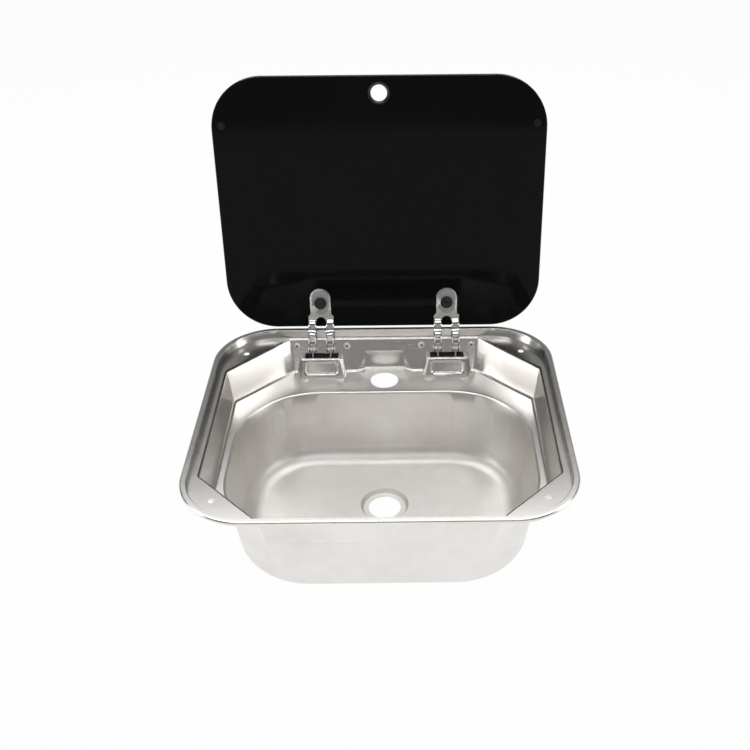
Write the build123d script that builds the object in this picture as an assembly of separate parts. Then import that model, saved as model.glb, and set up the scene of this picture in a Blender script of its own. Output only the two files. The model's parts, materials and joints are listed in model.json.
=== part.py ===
from build123d import *
from math import cos, radians, sin, sqrt, tan
import os

# Camper sink pressed from one stainless sheet, with a glass lid that folds down into its rim.
# Millimetres, +Z up, -Y to the user. The origin is the centre of the four corner screw holes,
# on the top face of the ledge that they go through. The lid is drawn standing open.

# Overall
WIDTH = 415.0
DEPTH = 365.0
HEIGHT = 150.0
CORNER_RADIUS = 72.5
SHEET = 0.8

# Rim and upper recess
RIM_FACE = 7.0
RIM_RISE = 10.4
RIM_LIP = 3.0
RIM_BEVEL = 1.4
MOUTH_BEVEL = 0.7
RECESS_DRAFT = 5.0

# Ledge and corner screws
SIDE_LEDGE = 8.6
REAR_LEDGE = 3.6
FRONT_LEDGE = 5.6
CORNER_LEG = 71.0
LEDGE_ROUND = 3.2
SCREW_HOLE = 7.0
SCREW_INSET_X = 35.5
SCREW_INSET_Y = 45.0

# Well between ledge and deck
DECK_DEPTH = 39.6
SIDE_DRAFT = 9.3
REAR_DRAFT = 20.7
FRONT_DRAFT = 11.4
REAR_CORNER_DRAFT = 18.3
FRONT_CORNER_DRAFT = 12.0
WELL_CORNER_BEVEL = 4.5
WELL_REAR_BEVEL = 2.0
WELL_TURN = 45.0
WELL_FOOT_ROUND = 4.0

# Scallop pressed into the rear wall, behind the tap
SCALLOP_WIDTH = 51.0
SCALLOP_DEPTH = 7.0
SCALLOP_RISE = 24.6
SCALLOP_RAMP = 30.0
SCALLOP_ROUND = 4.0

# Tap hole
TAP_HOLE = 35.0
TAP_SETBACK = 22.0

# Bowl
BOWL_SIDE_SHELF = 10.0
BOWL_FRONT_SHELF = 14.0
BOWL_REAR_SHELF = 48.5
BOWL_CORNER_RADIUS = 95.0
BOWL_DRAFT = 7.0
BOWL_RIM_BEVEL = 2.6
BOWL_FLOOR_ROUND = 22.0

# Waste outlet
OUTLET_HOLE = 39.5
OUTLET_SEAT = 58.5
OUTLET_SEAT_DEPTH = 5.0
OUTLET_SEAT_DRAFT = 35.0
OUTLET_OFFSET = 23.7

# Plinths that carry the hinges
HINGE_SPACING = 160.0
PLINTH_HEIGHT = 22.5
PLINTH_TOP_WIDTH = 54.0
PLINTH_TOP_DEPTH = 15.5
PLINTH_SIDE_DRAFT = 12.5
PLINTH_FRONT_DRAFT = 19.1
PLINTH_EDGE_ROUND = 2.5
PLINTH_CORNER_BEVEL = 3.2
WINDOW_WIDTH = 34.0
WINDOW_HEIGHT = 13.0
WINDOW_DEPTH = 1.8
WINDOW_DROP = 12.25
SLOT_WIDTH = 43.0
SLOT_DEPTH = 11.9
SLOT_REAR_LAND = 0.6

# Lid
LID_THICKNESS = 5.0
LID_SIDE_GAP = 4.5
LID_FRONT_GAP = 2.2
LID_CORNER_RADIUS = 61.0
LID_EDGE_BEVEL = 0.8
OPEN_ANGLE = 98.1
FINGER_HOLE = 19.0
FINGER_HOLE_INSET = 19.9
FINGER_BEVEL_WIDTH = 3.0
FINGER_BEVEL_DEPTH = 1.5
GLASS_BORE = 8.0
BUMPER_DIAMETER = 9.0
BUMPER_GAP = 0.3
BUMPER_INSET_X = 12.0
BUMPER_INSET_Y = 55.0

# Hinge pivot, and the glass seen from it with the lid shut
PIVOT_RISE = 6.1
PIVOT_TO_PANEL = 4.33
GLASS_SETBACK = 26.2
GLASS_RISE = 14.5

# Hinge fork, folded from sheet: two channel arms that run into one tongue
FORK_SHEET = 1.2
FORK_WIDTH = 32.0
ARM_WIDTH = 9.5
ARM_HEIGHT = 4.8
ARM_HEEL = 4.5
ARM_NOSE_RADIUS = 3.6
BEND_START = 17.0
BEND_END = 36.0
BEND_RADIUS = 8.0
CROTCH = 40.0
SHOULDER = 44.0
TONGUE_WIDTH = 26.0
TONGUE_END = 78.2
TONGUE_BORDER = 2.2
TONGUE_PRESSING = 0.5
FORK_CORNER_ROUND = 3.0
FLANGE_END = 38.0

# Pins, bracket and seals of the hinges
PIN_DIAMETER = 4.0
PIN_CLEARANCE = 0.05
PIN_HEAD_DIAMETER = 6.5
PIN_HEAD_HEIGHT = 1.0
PIN_HEAD_GAP = 0.25
BRACKET_SHEET = 1.6
EAR_DEPTH = 8.8
EAR_SETBACK = 0.3
EAR_EYE_RADIUS = 3.6
BRACKET_TOP = 4.0
BRACKET_WING = 6.0
BRACKET_WING_HEIGHT = 11.0
BRACKET_BASE_WIDTH = 48.0
BRACKET_CORNER_ROUND = 3.0
SHELF_FRONT_GAP = 1.5
SLOT_SEAL_SHEET = 1.5
SLOT_SEAL_OVERLAP = 2.6
SLOT_SEAL_ROUND = 2.5
SLOT_SEAL_FRONT_OVERLAP = 0.8
SLOT_SEAL_GAP = 0.15
SLOT_SEAL_DROP = 0.3
SLIT_CLEARANCE = 0.1

# Rivets through the rear wall
RIVET_SPACING = 64.0
RIVET_DROP = 8.9
RIVET_SHANK = 4.8
RIVET_HEAD = 9.0
RIVET_CROWN = 5.2
RIVET_HEAD_HEIGHT = 1.6
RIVET_TAIL = 7.0
RIVET_TAIL_HEIGHT = 2.0
RIVET_CLEARANCE = 0.05

# Clamp that holds the glass to the tongue
CLAMP_REACH = 58.6
CLAMP_HEAD = 15.5
CLAMP_HEAD_HEIGHT = 2.2
CLAMP_SHANK = 6.0
CLAMP_HOLE_CLEARANCE = 0.2
GASKET_SHEET = 0.8
GASKET_INSET = 1.0
GASKET_CORNER = 7.2
CAP_DIAMETER = 20.0
CAP_HEIGHT = 3.2
CAP_FLOOR = 1.2
WASHER_DIAMETER = 22.0
WASHER_SHEET = 1.0

# Seal under the rim
RIM_SEAL_INSET = 1.3
RIM_SEAL_WALL_GAP = 0.5
RIM_SEAL_DROP = 0.5

# Working sizes: how far a solid runs into its neighbour, how many sheets long a punch is, and the
# room around an outline when its edges are picked
OVERLAP = 2.0
PUNCH_SHEETS = 4
PICK_ROOM = 1.0

# Levels and half sizes that follow from the above
RIM_TOP = RIM_RISE
DECK = -DECK_DEPTH
OUTER_BOTTOM = RIM_TOP - HEIGHT
SEAT_FLOOR = OUTER_BOTTOM + SHEET
BOWL_FLOOR = SEAT_FLOOR + OUTLET_SEAT_DEPTH
MOUTH_X = WIDTH / 2 - RIM_FACE
MOUTH_Y = DEPTH / 2 - RIM_FACE
MOUTH_RADIUS = CORNER_RADIUS - RIM_FACE
RECESS_INSET = RIM_RISE * tan(radians(RECESS_DRAFT))
WELL_X = MOUTH_X - RECESS_INSET - SIDE_LEDGE
WELL_REAR = MOUTH_Y - RECESS_INSET - REAR_LEDGE
WELL_FRONT = MOUTH_Y - RECESS_INSET - FRONT_LEDGE
SCREW_X = WIDTH / 2 - SCREW_INSET_X
SCREW_Y = DEPTH / 2 - SCREW_INSET_Y


def lean(depth, draft, growth):
    """How far a drafted wall stands inside its top edge, at a depth, after growing outwards."""
    return depth * tan(radians(draft)) - growth / cos(radians(draft))


DECK_X = WELL_X - lean(DECK_DEPTH, SIDE_DRAFT, 0)
DECK_REAR = WELL_REAR - lean(DECK_DEPTH, REAR_DRAFT, 0)
DECK_FRONT = WELL_FRONT - lean(DECK_DEPTH, FRONT_DRAFT, 0)
BOWL_X = DECK_X - BOWL_SIDE_SHELF
BOWL_FRONT = DECK_FRONT - BOWL_FRONT_SHELF
BOWL_REAR = DECK_REAR - BOWL_REAR_SHELF
OUTLET_Y = (BOWL_REAR - BOWL_FRONT) / 2 + OUTLET_OFFSET
TAP_Y = DECK_REAR - TAP_SETBACK

PLINTH_TOP = DECK + PLINTH_HEIGHT
PLINTH_REAR = WELL_REAR - lean(-PLINTH_TOP, REAR_DRAFT, 0)
PLINTH_FRONT = PLINTH_REAR - PLINTH_TOP_DEPTH
SLOT_REAR = PLINTH_REAR - SLOT_REAR_LAND
SLOT_FRONT = SLOT_REAR - SLOT_DEPTH

PIVOT_Z = PLINTH_TOP + PIVOT_RISE
PIVOT_Y = WELL_REAR - lean(-PIVOT_Z, REAR_DRAFT, 0) - PIVOT_TO_PANEL
PIVOT = Axis((0, PIVOT_Y, PIVOT_Z), (1, 0, 0))
GLASS_UNDER = PIVOT_Z + GLASS_RISE
GLASS_TOP = GLASS_UNDER + LID_THICKNESS
LID_REAR = PIVOT_Y - GLASS_SETBACK
LID_FRONT = LID_FRONT_GAP - MOUTH_Y
LID_X = MOUTH_X - LID_SIDE_GAP
ARM_CENTRE = (FORK_WIDTH - ARM_WIDTH) / 2
CLAMP_Y = PIVOT_Y - CLAMP_REACH
TONGUE_TOP = GLASS_UNDER - GASKET_SHEET
TONGUE_UNDER = TONGUE_TOP - FORK_SHEET
TONGUE_SEAT = TONGUE_UNDER + TONGUE_PRESSING
HINGE_SIDES = {"left": -HINGE_SPACING / 2, "right": HINGE_SPACING / 2}


# Sink body ---------------------------------------------------------------------------------

def rounded_slab(half_x, front, rear, radius, low, high):
    """Upright slab with rounded corners, from a front to a rear plane."""
    outline = Pos(0, (front + rear) / 2, low) * RectangleRounded(2 * half_x, rear - front, radius)
    return extrude(outline, high - low)


def drafted_slab(half_x, front, rear, radius, low, high, angle):
    """Rounded slab, drawn at its top, whose sides draw in towards its foot."""
    slab = rounded_slab(half_x, front, rear, radius, low, high)
    return draft(slab.faces().sort_by(Axis.Z)[1:-1], Plane.XY.offset(high), -angle)


def tangent_leg(radius, turn):
    """Leg of a bevel whose face touches the arc of that radius, at an edge of that turn."""
    return radius * (tan(radians(turn / 2)) - tan(radians(turn / 4)))


def bevel_leg(leg, turn, growth):
    """Leg of the bevel on the far side of a sheet, so that the sheet keeps its thickness."""
    return leg - tangent_leg(growth, turn)


def punch(radius, sheet):
    """Round cutter through a sheet whose face is at Z = 0."""
    return Cylinder(radius, PUNCH_SHEETS * sheet)


def recess_space(growth, top):
    """Upper recess, between the mouth of the rim and the ledge."""
    inset = lean(RIM_TOP - top, RECESS_DRAFT, growth)
    half_y = MOUTH_Y - inset
    return drafted_slab(MOUTH_X - inset, -half_y, half_y, MOUTH_RADIUS - inset, -growth, top, RECESS_DRAFT)


def frustum(lower, upper):
    """Solid between two level polygons whose sides are parallel in pairs, so all its faces are flat."""
    faces = [make_face(Polyline(*lower, close=True)), make_face(Polyline(*upper, close=True))]
    for i in range(len(lower)):
        faces.append(make_face(Polyline(lower[i - 1], lower[i], upper[i], upper[i - 1], close=True)))
    return Part() + Solid(Shell([face.face() for face in faces]))


def well_outline(depth, growth):
    """Eight corners of the well at a depth below the ledge: a rectangle with its corners cut."""
    side = WELL_X - lean(depth, SIDE_DRAFT, growth)
    rear = WELL_REAR - lean(depth, REAR_DRAFT, growth)
    front = WELL_FRONT - lean(depth, FRONT_DRAFT, growth)
    rear_sum = WELL_X + WELL_REAR - CORNER_LEG - sqrt(2) * lean(depth, REAR_CORNER_DRAFT, growth)
    front_sum = WELL_X + WELL_FRONT - CORNER_LEG - sqrt(2) * lean(depth, FRONT_CORNER_DRAFT, growth)
    right = [
        (front_sum - front, -front),
        (side, side - front_sum),
        (side, rear_sum - side),
        (rear_sum - rear, rear),
    ]
    left = [(-x, y) for x, y in reversed(right)]
    return [(x, y, -depth) for x, y in right + left]


def well_space(growth):
    """Eight-sided well below the ledge, with the scallop in its rear wall."""
    block = frustum(well_outline(DECK_DEPTH + growth, growth), well_outline(-OVERLAP, growth))
    corners = block.edges().filter_by(lambda e: e.bounding_box().size.Z > OVERLAP).sort_by(Axis.Y)
    for some, leg in ((corners[:6], WELL_CORNER_BEVEL), (corners[6:], WELL_REAR_BEVEL)):
        block = chamfer(some, bevel_leg(leg, WELL_TURN, -growth))
    block = fillet(block.edges().group_by(Axis.Z)[0], WELL_FOOT_ROUND + growth)
    return block + scallop_space(growth)


def scallop_space(growth):
    """Shallow pocket that sets the foot of the rear wall back behind the tap."""
    ramp = radians(SCALLOP_RAMP)
    back = DECK_REAR + SCALLOP_DEPTH + growth
    reach = SCALLOP_DEPTH + 2 * WELL_FOOT_ROUND + growth
    inner = SCALLOP_WIDTH / 2 + growth * tan(ramp / 2)
    outer = inner + reach / tan(ramp)
    low = DECK - growth
    corners = [(outer, back - reach), (inner, back), (-inner, back), (-outer, back - reach)]
    outline = Pos(0, 0, low) * make_face(Polyline(*corners, close=True))
    shift = SCALLOP_RISE * tan(radians(REAR_DRAFT)) - SCALLOP_DEPTH
    rise = SCALLOP_RISE + OVERLAP + growth
    block = extrude(outline, rise * sqrt(1 + (shift / SCALLOP_RISE) ** 2), dir=(0, shift, SCALLOP_RISE))
    uprights = block.edges().filter_by(lambda e: e.bounding_box().size.Z > OVERLAP)
    block = fillet(uprights.group_by(Axis.Y)[-1], SCALLOP_ROUND + growth)
    foot = block.edges().group_by(Axis.Z)[0].sort_by(Axis.Y)[1:]
    return fillet(foot, WELL_FOOT_ROUND + growth)


def bowl_space(growth):
    """Bowl below the deck, with drafted walls, a round foot and the seat of the waste outlet."""
    top = DECK + OVERLAP
    floor = BOWL_FLOOR - growth
    inset = lean(-OVERLAP, BOWL_DRAFT, growth)
    radius = BOWL_CORNER_RADIUS - inset
    block = drafted_slab(
        BOWL_X - inset, inset - BOWL_FRONT, BOWL_REAR - inset, radius, floor, top, BOWL_DRAFT
    )
    block = fillet(block.edges().group_by(Axis.Z)[0], BOWL_FLOOR_ROUND + growth)
    foot = OUTLET_SEAT / 2 - lean(OUTLET_SEAT_DEPTH, OUTLET_SEAT_DRAFT, growth)
    depth = OUTLET_SEAT_DEPTH + OVERLAP
    head = foot + depth * tan(radians(OUTLET_SEAT_DRAFT))
    seat = Cone(foot, head, depth, align=(Align.CENTER, Align.CENTER, Align.MIN))
    return block + Pos(0, OUTLET_Y, SEAT_FLOOR - growth) * seat


def plinth_outline(depth, growth):
    """Four corners of a plinth, at a depth below its top."""
    half = PLINTH_TOP_WIDTH / 2 - lean(-depth, PLINTH_SIDE_DRAFT, -growth)
    front = PLINTH_FRONT - lean(depth, PLINTH_FRONT_DRAFT, growth)
    rear = MOUTH_Y + RIM_FACE
    z = PLINTH_TOP - depth
    return [(-half, front, z), (half, front, z), (half, rear, z), (-half, rear, z)]


def plinth(growth):
    """Raised block in the rear edge of the deck, as the solid under the pressed sheet."""
    block = frustum(plinth_outline(PLINTH_HEIGHT + OVERLAP, growth), plinth_outline(growth, growth))
    front_corners = block.edges().filter_by(lambda e: e.bounding_box().size.Z > OVERLAP).sort_by(Axis.Y)[:2]
    block = chamfer(front_corners, bevel_leg(PLINTH_CORNER_BEVEL, 90, growth))
    top_edges = block.edges().group_by(Axis.Z)[-1].sort_by(Axis.Y)[:-1]
    block = fillet(top_edges, PLINTH_EDGE_ROUND - growth)
    return block - window_space(growth)


def window_space(growth):
    """Shallow pocket in the sloping front of a plinth."""
    slope = radians(PLINTH_FRONT_DRAFT)
    front = PLINTH_FRONT - WINDOW_DROP * tan(slope)
    face = Plane(
        origin=(0, front, PLINTH_TOP - WINDOW_DROP), x_dir=(1, 0, 0), z_dir=(0, cos(slope), -sin(slope))
    )
    outline = face * Rectangle(WINDOW_WIDTH + 2 * growth, WINDOW_HEIGHT + 2 * growth)
    pocket = extrude(outline, WINDOW_DEPTH + growth, taper=PLINTH_FRONT_DRAFT)
    return pocket + extrude(outline, -OVERLAP)


def basin_space(growth, top):
    """All the space inside the pressing, grown by the same amount on every side."""
    space = recess_space(growth, top) + well_space(growth)
    ledge = space.edges().filter_by(lambda e: on_level(e, -growth) and within_well(e))
    space = fillet(ledge, LEDGE_ROUND - growth)
    space = space + bowl_space(growth)
    rim = space.edges().filter_by(lambda e: on_level(e, DECK - growth) and within_bowl(e))
    space = chamfer(rim, bevel_leg(BOWL_RIM_BEVEL, 90 - BOWL_DRAFT, growth))
    for x in HINGE_SIDES.values():
        space = space - Pos(x, 0, 0) * plinth(growth)
    return space


def on_level(edge, level):
    """True for an edge that lies in one level plane."""
    box = edge.bounding_box()
    return abs(box.min.Z - level) < 0.01 and abs(box.max.Z - level) < 0.01


def within_well(edge):
    """True for an edge of the well's mouth, which lies inside the foot of the recess wall."""
    middle = edge.position_at(0.5)
    room = SHEET + PICK_ROOM
    return (
        abs(middle.X) < WELL_X + room
        and -WELL_FRONT - room < middle.Y < WELL_REAR + room
        and abs(middle.X) + abs(middle.Y) < WELL_X + WELL_REAR - CORNER_LEG + sqrt(2) * room
    )


def within_bowl(edge):
    """True for an edge of the bowl's mouth."""
    middle = edge.position_at(0.5)
    room = SHEET + PICK_ROOM
    return abs(middle.X) < BOWL_X + room and -BOWL_FRONT - room < middle.Y < BOWL_REAR + room


def rim_cap():
    """Flat rim with its turned-down lip, before the mouth is opened."""
    low = RIM_TOP - RIM_LIP
    cap = rounded_slab(WIDTH / 2, -DEPTH / 2, DEPTH / 2, CORNER_RADIUS, low, RIM_TOP)
    cap = chamfer(cap.edges().group_by(Axis.Z)[-1], RIM_BEVEL)
    under = rounded_slab(
        WIDTH / 2 - SHEET, SHEET - DEPTH / 2, DEPTH / 2 - SHEET, CORNER_RADIUS - SHEET, low, RIM_TOP - SHEET
    )
    under = chamfer(under.edges().group_by(Axis.Z)[-1], bevel_leg(RIM_BEVEL, 90, SHEET))
    return cap - under


def sink_body():
    """The whole pressing, with the holes that are punched in it."""
    body = rim_cap() + basin_space(SHEET, RIM_TOP) - basin_space(0, RIM_TOP + OVERLAP)
    mouth = body.edges().filter_by(lambda e: on_level(e, RIM_TOP) and within_mouth(e))
    body = chamfer(mouth, MOUTH_BEVEL)
    corners = GridLocations(2 * SCREW_X, 2 * SCREW_Y, 2, 2)
    body = body - corners * punch(SCREW_HOLE / 2, SHEET)
    body = body - Pos(0, TAP_Y, DECK) * punch(TAP_HOLE / 2, SHEET)
    body = body - Pos(0, OUTLET_Y, SEAT_FLOOR) * punch(OUTLET_HOLE / 2, SHEET)
    slot = Box(SLOT_WIDTH, SLOT_DEPTH, PUNCH_SHEETS * SHEET)
    for x in HINGE_SIDES.values():
        body = body - Pos(x, (SLOT_FRONT + SLOT_REAR) / 2, PLINTH_TOP) * slot
        for rivet in rivet_places(x):
            body = body - rivet * punch(RIVET_SHANK / 2 + RIVET_CLEARANCE, SHEET)
    return body


def within_mouth(edge):
    """True for an edge of the mouth of the rim."""
    middle = edge.position_at(0.5)
    return abs(middle.X) < MOUTH_X + PICK_ROOM and abs(middle.Y) < MOUTH_Y + PICK_ROOM


def rim_seal():
    """Foam strip in the channel under the rim."""
    low = RIM_TOP - RIM_LIP - RIM_SEAL_DROP
    high = RIM_TOP - SHEET
    strip, opening = [
        rounded_slab(WIDTH / 2 - d, d - DEPTH / 2, DEPTH / 2 - d, CORNER_RADIUS - d, low, high)
        for d in (SHEET + RIM_SEAL_INSET, RIM_FACE - SHEET - RIM_SEAL_WALL_GAP)
    ]
    return strip - opening


# Parts fixed to the sink at each hinge -----------------------------------------------------

def rivet_places(x):
    """Planes on the rear wall at the rivets of one hinge, with Z pointing out of the wall to the user."""
    slope = radians(REAR_DRAFT)
    y = WELL_REAR - RIVET_DROP * tan(slope)
    out = (0, -cos(slope), sin(slope))
    return [
        Plane(origin=(x + side * RIVET_SPACING / 2, y, -RIVET_DROP), x_dir=(1, 0, 0), z_dir=out)
        for side in (-1, 1)
    ]


def rivet():
    """Blind rivet with a crowned head, on the face of the wall at z = 0."""
    grip = SHEET + BRACKET_SHEET
    tail = -grip - RIVET_TAIL_HEIGHT
    profile = Polyline(
        (0, tail), (RIVET_TAIL / 2, tail), (RIVET_TAIL / 2, -grip), (RIVET_SHANK / 2, -grip),
        (RIVET_SHANK / 2, 0), (RIVET_HEAD / 2, 0), (RIVET_CROWN / 2, RIVET_HEAD_HEIGHT),
        (0, RIVET_HEAD_HEIGHT), close=True,
    )
    return revolve(Plane.XZ * make_face(profile), Axis.Z)


def rivets():
    """The four rivets of both brackets."""
    return Compound([place * rivet() for x in HINGE_SIDES.values() for place in rivet_places(x)])


def side_face(*outline):
    """Face in the plane X = 0, from (y, z) points."""
    return make_face(Polyline(*[(0, y, z) for y, z in outline], close=True))


def bracket(x):
    """Bracket behind the rear wall: a riveted back, a shelf under the plinth and two ears."""
    slope = radians(REAR_DRAFT)
    shelf_top = PLINTH_TOP - SHEET - SLOT_SEAL_SHEET
    shelf_low = shelf_top - BRACKET_SHEET
    wing_low = -BRACKET_TOP - BRACKET_WING_HEIGHT
    plate = bracket_back(-BRACKET_TOP, wing_low, RIVET_SPACING + 2 * BRACKET_WING)
    plate = fillet(plate.edges().filter_by(short_and_level), BRACKET_CORNER_ROUND)
    web = bracket_back(wing_low + OVERLAP, shelf_low, BRACKET_BASE_WIDTH)
    front = SLOT_FRONT + SHELF_FRONT_GAP - BRACKET_SHEET / 2
    rear = WELL_REAR + SHEET / cos(slope) + shelf_low * tan(slope) + BRACKET_SHEET / cos(slope) / 2
    shelf = Pos(0, (front + rear) / 2, (shelf_top + shelf_low) / 2) * Box(
        BRACKET_BASE_WIDTH, rear - front, BRACKET_SHEET
    )
    part = plate + web + shelf
    for place in (-ARM_CENTRE, ARM_CENTRE):
        part = part + Pos(place, 0, 0) * ear()
    part = Pos(x, 0, 0) * part
    for place in rivet_places(x):
        part = part - place * punch(RIVET_SHANK / 2 + RIVET_CLEARANCE, BRACKET_SHEET)
    return part


def bracket_back(high, low, width):
    """Plate of the bracket that lies on the back of the rear wall, between two levels."""
    slope = radians(REAR_DRAFT)
    face = WELL_REAR + SHEET / cos(slope)
    run = BRACKET_SHEET / cos(slope)
    outline = side_face(
        (face + high * tan(slope), high),
        (face + high * tan(slope) + run, high),
        (face + low * tan(slope) + run, low),
        (face + low * tan(slope), low),
    )
    return extrude(outline, width / 2, both=True, dir=(1, 0, 0))


def short_and_level(edge):
    """True for an edge across the thickness of the bracket's plate."""
    size = edge.bounding_box().size
    return size.X < SHEET / 2 and size.Z < SHEET


def ear():
    """Upright lug that rises through the slot and holds a hinge pin."""
    shelf_top = PLINTH_TOP - SHEET - SLOT_SEAL_SHEET
    stem_rear = PIVOT_Y + EAR_SETBACK
    eye = Pos(PIVOT_Y, PIVOT_Z) * Circle(EAR_EYE_RADIUS)
    foot = Pos(stem_rear, shelf_top) * Rectangle(EAR_DEPTH, BRACKET_SHEET, align=(Align.MAX, Align.MAX))
    behind = Pos(stem_rear, PIVOT_Z) * Rectangle(2 * EAR_DEPTH, HEIGHT, align=(Align.MIN, Align.CENTER))
    outline = make_hull((eye + foot).edges()) - behind + eye
    lug = extrude(Plane.YZ * outline, BRACKET_SHEET / 2, both=True)
    return lug - pivot_bore(PIN_DIAMETER / 2, 4 * BRACKET_SHEET)


def pivot_bore(radius, length):
    """Cylinder on the pivot axis, centred on X = 0."""
    return Pos(0, PIVOT_Y, PIVOT_Z) * Rot(0, 90, 0) * Cylinder(radius, length)


def pins():
    """Four pins, one through each arm of a fork and its ear, with their heads to the outside."""
    half = ARM_WIDTH / 2 + PIN_HEAD_GAP
    shank = pivot_bore(PIN_DIAMETER / 2, 2 * half)
    head = pivot_bore(PIN_HEAD_DIAMETER / 2, PIN_HEAD_HEIGHT)
    return Compound([
        Pos(x + side * ARM_CENTRE, 0, 0) * (shank + Pos(side * (half + PIN_HEAD_HEIGHT / 2), 0, 0) * head)
        for x in HINGE_SIDES.values()
        for side in (-1, 1)
    ])


def slot_seal(x):
    """Rubber plate under the slot of a plinth, with a slit for each ear."""
    top = PLINTH_TOP - SHEET
    plate_front = SLOT_FRONT - SLOT_SEAL_FRONT_OVERLAP
    plate_rear = SLOT_REAR + SLOT_REAR_LAND / 2
    plate_outline = Pos(x, (plate_front + plate_rear) / 2, top - SLOT_SEAL_SHEET) * RectangleRounded(
        SLOT_WIDTH + 2 * SLOT_SEAL_OVERLAP, plate_rear - plate_front, SLOT_SEAL_ROUND
    )
    plate = extrude(plate_outline, SLOT_SEAL_SHEET)
    plug_top = PLINTH_TOP - SLOT_SEAL_DROP
    plug = Pos(x, (SLOT_FRONT + SLOT_REAR) / 2, (top - SLOT_SEAL_SHEET + plug_top) / 2) * Box(
        SLOT_WIDTH - 2 * SLOT_SEAL_GAP, SLOT_DEPTH - 2 * SLOT_SEAL_GAP, plug_top - top + SLOT_SEAL_SHEET
    )
    seal = plate + plug
    for place in (-ARM_CENTRE, ARM_CENTRE):
        seal = seal - Pos(x + place, PIVOT_Y + EAR_SETBACK - EAR_DEPTH / 2, top) * Box(
            BRACKET_SHEET + 2 * SLIT_CLEARANCE, EAR_DEPTH + 2 * SLIT_CLEARANCE, 4 * SLOT_SEAL_SHEET
        )
    return seal


# Lid, drawn shut and then swung open about the pivot ----------------------------------------

def swing_open(shape):
    """Turns a piece of the shut lid to where it stands open."""
    return shape.rotate(PIVOT, -OPEN_ANGLE)


def lid_glass():
    """Glass sheet with a finger hole at its front and a bore for each clamp."""
    glass = rounded_slab(LID_X, LID_FRONT, LID_REAR, LID_CORNER_RADIUS, GLASS_UNDER, GLASS_TOP)
    rims = glass.edges().group_by(Axis.Z)
    glass = chamfer(rims[0] + rims[-1], LID_EDGE_BEVEL)
    hole_y = LID_FRONT + FINGER_HOLE_INSET
    middle = (GLASS_UNDER + GLASS_TOP) / 2
    glass = glass - Pos(0, hole_y, middle) * Cylinder(FINGER_HOLE / 2, 2 * LID_THICKNESS)
    bevel = Cone(
        FINGER_HOLE / 2, FINGER_HOLE / 2 + FINGER_BEVEL_WIDTH, FINGER_BEVEL_DEPTH,
        align=(Align.CENTER, Align.CENTER, Align.MIN),
    )
    glass = glass - Pos(0, hole_y, GLASS_TOP - FINGER_BEVEL_DEPTH) * bevel
    glass = glass - Pos(0, hole_y, GLASS_UNDER + FINGER_BEVEL_DEPTH) * Rot(180, 0, 0) * bevel
    for x in HINGE_SIDES.values():
        glass = glass - Pos(x, CLAMP_Y, middle) * Cylinder(GLASS_BORE / 2, 2 * LID_THICKNESS)
    return glass


def lid_bumpers():
    """Rubber buffers on the underside of the glass, above the front corner plates of the ledge."""
    height = GLASS_UNDER - BUMPER_GAP
    bumper = Cylinder(BUMPER_DIAMETER / 2, height, align=(Align.CENTER, Align.CENTER, Align.MIN))
    y = LID_FRONT + BUMPER_INSET_Y
    return Compound([Pos(side * (LID_X - BUMPER_INSET_X), y, BUMPER_GAP) * bumper for side in (-1, 1)])


def fork_outline():
    """Plan of the fork from above: two arms, an arched crotch, shoulders and a round-ended tongue."""
    half = FORK_WIDTH / 2
    tongue = TONGUE_WIDTH / 2
    gap = half - ARM_WIDTH
    reach = [ARM_HEEL, SHOULDER - FORK_CORNER_ROUND, SHOULDER, TONGUE_END - tongue]
    y = [PIVOT_Y - d for d in reach]
    arch = PIVOT_Y - CROTCH + gap
    sides = [
        Polyline((-gap, arch), (-gap, y[0]), (-half, y[0]), (-half, y[1]), (-tongue, y[2]), (-tongue, y[3])),
        Polyline((gap, arch), (gap, y[0]), (half, y[0]), (half, y[1]), (tongue, y[2]), (tongue, y[3])),
        ThreePointArc((-tongue, y[3]), (0, PIVOT_Y - TONGUE_END), (tongue, y[3])),
        ThreePointArc((-gap, arch), (0, arch - gap), (gap, arch)),
    ]
    return make_face(Curve() + sides)


def fork_web():
    """Bent sheet of the fork in side view, from the heels at the pins to the end of the tongue."""
    arm_top = PIVOT_Z + ARM_HEIGHT - FORK_SHEET / 2
    tongue_mid = TONGUE_TOP - FORK_SHEET / 2
    path = FilletPolyline(
        (PIVOT_Y - ARM_HEEL, arm_top),
        (PIVOT_Y - BEND_START, arm_top),
        (PIVOT_Y - BEND_END, tongue_mid),
        (PIVOT_Y - TONGUE_END, tongue_mid),
        radius=BEND_RADIUS,
    )
    return Plane.YZ * trace(path, FORK_SHEET)


def flange_face():
    """Side wall of a channel arm: round nose at the pin, tapering out under the tongue."""
    nose = ARM_NOSE_RADIUS
    arm = ARM_HEIGHT - FORK_SHEET / 2
    web = TONGUE_UNDER + FORK_SHEET / 2 - PIVOT_Z
    outline = [
        (0, -nose), (0, nose), (-ARM_HEEL, nose), (-ARM_HEEL, arm), (-BEND_START, arm), (-BEND_END, web),
        (-FLANGE_END, web), (-FLANGE_END, TONGUE_UNDER - PIVOT_Z), (-BEND_START, -nose),
    ]
    side = make_face(Polyline(*outline, close=True)) + Circle(nose)
    return Plane.YZ * Pos(PIVOT_Y, PIVOT_Z) * side


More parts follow.
